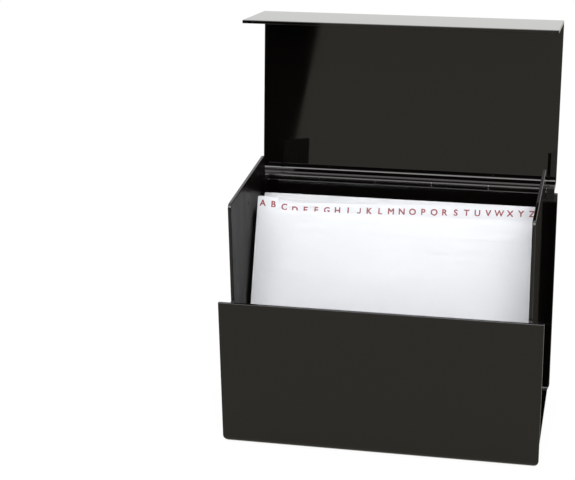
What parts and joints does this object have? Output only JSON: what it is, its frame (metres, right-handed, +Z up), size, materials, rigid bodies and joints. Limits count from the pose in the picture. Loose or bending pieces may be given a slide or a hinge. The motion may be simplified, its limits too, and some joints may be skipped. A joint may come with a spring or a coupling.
{
  "type": "index card box",
  "caption": "Index card box in black plastic: bent body with inset side walls, a lid on a rod hinge with a deep front lip, and tabbed guide cards that leaf forward.",
  "frame": {"origin": "centre of the box's underside, on the surface it stands on", "axes": "+X to the user's right, +Y to the back, +Z up; the lid is open at rest"},
  "size_m": [0.235, 0.1662, 0.3016],
  "materials": {
    "black_plastic": "glossy black",
    "steel": "drawn",
    "card": "smooth coated"
  },
  "bodies": {
    "box": {"body_shell": "black_plastic", "side_wall_left": "black_plastic", "side_wall_right": "black_plastic", "hinge_block_left": "black_plastic", "hinge_block_right": "black_plastic", "body_knuckle_1": "black_plastic", "body_knuckle_2": "black_plastic", "hinge_rod": "steel"},
    "lid": {"lid": "black_plastic", "lid_knuckle_1": "black_plastic", "lid_knuckle_2": "black_plastic", "lid_knuckle_3": "black_plastic"},
    "guides_a_e": {"guide_card_a": "card", "guide_card_b": "card", "guide_card_c": "card", "guide_card_d": "card", "guide_card_e": "card"},
    "guides_f_j": {"guide_card_f": "card", "guide_card_g": "card", "guide_card_h": "card", "guide_card_i": "card", "guide_card_j": "card"},
    "guides_k_o": {"guide_card_k": "card", "guide_card_l": "card", "guide_card_m": "card", "guide_card_n": "card", "guide_card_o": "card"},
    "guides_p_t": {"guide_card_p": "card", "guide_card_q": "card", "guide_card_r": "card", "guide_card_s": "card", "guide_card_t": "card"},
    "guides_u_z": {"guide_card_u": "card", "guide_card_v": "card", "guide_card_w": "card", "guide_card_x": "card", "guide_card_y": "card", "guide_card_z": "card", "back_card": "card"}
  },
  "joints": [
    {"name": "lid_hinge", "type": "hinge", "parent": "box", "child": "lid", "pos_m": [0, 0.06225, 0.1692], "axis": [1, 0, 0], "range_deg": [0, 98.5]},
    {"name": "leaf_a_e", "type": "hinge", "parent": "box", "child": "guides_a_e", "pos_m": [0, -0.057, 0.00268], "axis": [1, 0, 0], "range_deg": [0, 24]},
    {"name": "leaf_f_j", "type": "hinge", "parent": "box", "child": "guides_f_j", "pos_m": [0, -0.05285, 0.00268], "axis": [1, 0, 0], "range_deg": [0, 19.2]},
    {"name": "leaf_k_o", "type": "hinge", "parent": "box", "child": "guides_k_o", "pos_m": [0, -0.0487, 0.00268], "axis": [1, 0, 0], "range_deg": [0, 14.4]},
    {"name": "leaf_p_t", "type": "hinge", "parent": "box", "child": "guides_p_t", "pos_m": [0, -0.04455, 0.00268], "axis": [1, 0, 0], "range_deg": [0, 9.6]},
    {"name": "leaf_u_z", "type": "hinge", "parent": "box", "child": "guides_u_z", "pos_m": [0, -0.0404, 0.00268], "axis": [1, 0, 0], "range_deg": [0, 4.8]}
  ],
  "couplings": [
    {"joint": "leaf_f_j", "follows": "leaf_a_e", "ratio": 0.8},
    {"joint": "leaf_k_o", "follows": "leaf_a_e", "ratio": 0.6},
    {"joint": "leaf_p_t", "follows": "leaf_a_e", "ratio": 0.4},
    {"joint": "leaf_u_z", "follows": "leaf_a_e", "ratio": 0.2}
  ]
}
